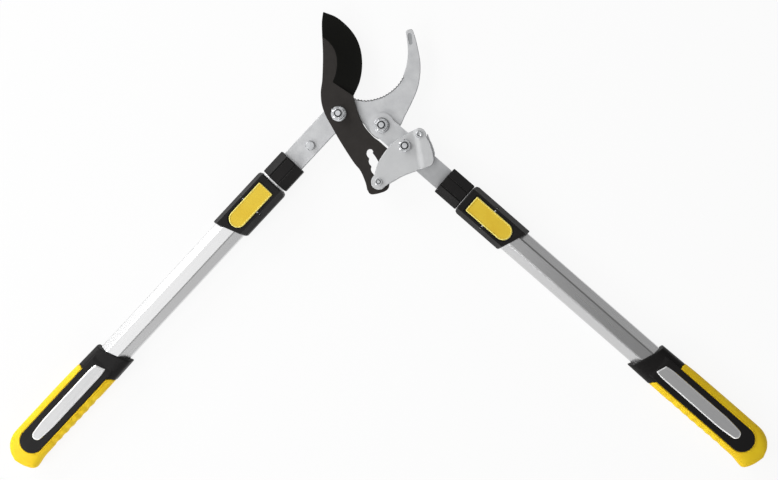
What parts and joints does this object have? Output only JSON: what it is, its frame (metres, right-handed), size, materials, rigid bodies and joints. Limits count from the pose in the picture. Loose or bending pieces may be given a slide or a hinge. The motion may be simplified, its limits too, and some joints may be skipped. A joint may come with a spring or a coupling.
{
  "type": "telescopic ratchet lopper",
  "caption": "Two-handed telescopic lopper with a bypass blade over a serrated hook, a ratchet slot linkage, faceted aluminium handles, rocker locks and padded grips.",
  "frame": {"origin": "centre of the footprint at the height of the flat backs that the tool lies on", "axes": "+Z out of the front face, +Y from the handles towards the blade, +X to the handle with the link plates"},
  "size_m": [0.8862, 0.5374, 0.0325],
  "materials": {
    "bright_plate": "satin, lightly mottled zinc-plated steel plate",
    "blade_coat": "dark low-friction coating, satin",
    "zinc": "bright zinc plating",
    "tube_aluminium": "anodised, brushed along the tube",
    "black_plastic": "moulded, satin",
    "yellow_plastic": "moulded, semi-gloss",
    "yellow_rubber": "soft overmould, satin",
    "inlay_silver": "silver-grey, brushed look",
    "spring_steel": "bare spring wire"
  },
  "bodies": {
    "hook_frame": {"hook": "bright_plate", "left_inner_tube": "tube_aluminium", "left_tang_rivet_far": "zinc", "left_tang_rivet_near": "zinc", "left_tang_sleeve": "black_plastic", "left_tube_bush": "black_plastic", "lever_bolt": "zinc", "lever_nut": "zinc", "lever_washer": "zinc", "pivot_bolt": "zinc", "pivot_nut": "zinc", "pivot_washer": "zinc", "stop_stud": "zinc"},
    "blade": {"blade": "blade_coat"},
    "right_lever": {"link_bolt": "zinc", "link_nut": "zinc", "right_inner_tube": "tube_aluminium", "right_tang": "bright_plate", "right_tang_rivet_far": "zinc", "right_tang_rivet_near": "zinc", "right_tang_sleeve": "black_plastic", "right_tube_bush": "black_plastic"},
    "ratchet_link": {"link_plate_front": "bright_plate", "link_plate_rear": "bright_plate", "link_rivet": "zinc", "ratchet_bolt": "zinc", "ratchet_nut": "zinc"},
    "left_handle": {"left_collar": "black_plastic", "left_grip_core": "black_plastic", "left_grip_cover": "yellow_rubber", "left_grip_inlay": "inlay_silver", "left_lock_pin": "zinc", "left_lock_spring": "spring_steel", "left_outer_tube": "tube_aluminium"},
    "right_handle": {"right_collar": "black_plastic", "right_grip_core": "black_plastic", "right_grip_cover": "yellow_rubber", "right_grip_inlay": "inlay_silver", "right_lock_pin": "zinc", "right_lock_spring": "spring_steel", "right_outer_tube": "tube_aluminium"},
    "left_lock": {"left_lock_lever": "yellow_plastic"},
    "right_lock": {"right_lock_lever": "yellow_plastic"}
  },
  "joints": [
    {"name": "lever_hinge", "type": "hinge", "parent": "hook_frame", "child": "right_lever", "pos_m": [0.00147, 0.13528, 0.016], "axis": [0, 0, -1], "range_deg": [0, 67.6]},
    {"name": "blade_hinge", "type": "hinge", "parent": "hook_frame", "child": "blade", "pos_m": [-0.04883, 0.14928, 0.016], "axis": [0, 0, -1], "range_deg": [0, 48.6]},
    {"name": "link_hinge", "type": "hinge", "parent": "right_lever", "child": "ratchet_link", "pos_m": [0.02867, 0.11118, 0.016], "axis": [0, 0, -1], "range_deg": [-25, 0]},
    {"name": "left_handle_slide", "type": "slide", "parent": "hook_frame", "child": "left_handle", "axis": [-0.6858, -0.7278, 0], "range_m": [0, 0.288]},
    {"name": "right_handle_slide", "type": "slide", "parent": "right_lever", "child": "right_handle", "axis": [0.7524, -0.6587, 0], "range_m": [0, 0.288]},
    {"name": "left_lock_hinge", "type": "hinge", "parent": "left_handle", "child": "left_lock", "pos_m": [-0.15185, 0.04273, 0.0269], "axis": [0.7278, -0.6858, 0], "range_deg": [0, 4], "stiffness_Nm_per_rad": 0.8, "springref_deg": -2.86, "deforming": ["left_lock_spring"]},
    {"name": "right_lock_hinge", "type": "hinge", "parent": "right_handle", "child": "right_lock", "pos_m": [0.12584, 0.0264, 0.0269], "axis": [0.6587, 0.7524, 0], "range_deg": [0, 4], "stiffness_Nm_per_rad": 0.8, "springref_deg": -2.86, "deforming": ["right_lock_spring"]}
  ],
  "couplings": [
    {"joint": "blade_hinge", "follows": "lever_hinge", "ratio": 0.71746},
    {"joint": "link_hinge", "follows": "lever_hinge", "ratio": -0.36834}
  ]
}
